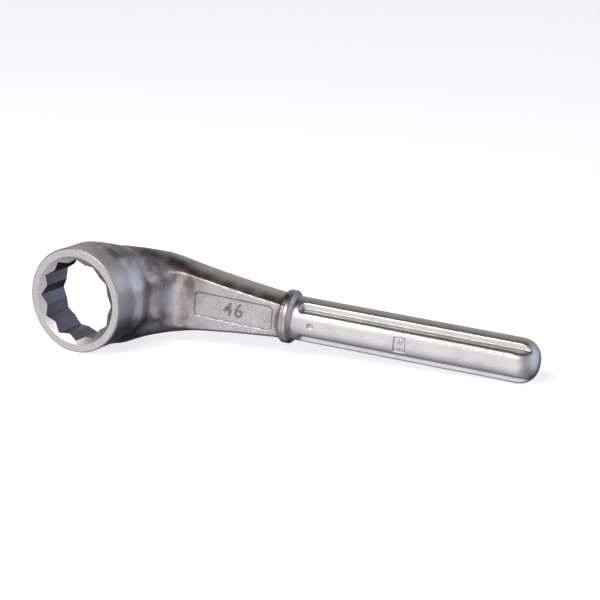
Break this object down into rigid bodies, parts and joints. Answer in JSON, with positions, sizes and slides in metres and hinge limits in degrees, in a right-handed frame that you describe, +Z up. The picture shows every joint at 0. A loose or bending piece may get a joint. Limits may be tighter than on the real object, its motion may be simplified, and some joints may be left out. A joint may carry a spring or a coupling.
{
  "type": "deep offset ring wrench",
  "caption": "One-piece forged ring wrench with a twelve-point bore, a deep-offset neck, a tapering shank, a collar and a round fluted tang for a pull tube.",
  "frame": {"origin": "on the floor, under the middle of the wrench's box, with the wrench standing on its edge on the ring and the tang's end", "axes": "+X from the ring along the handle, -Y out of the ring's working face, +Z up across the handle"},
  "size_m": [0.3094, 0.1036, 0.067],
  "materials": {
    "satin_chrome": "matt chrome plate over a drop-forged, shot-blasted surface, with ground ring faces"
  },
  "bodies": {
    "root": {"wrench_forging": "satin_chrome"}
  },
  "joints": []
}
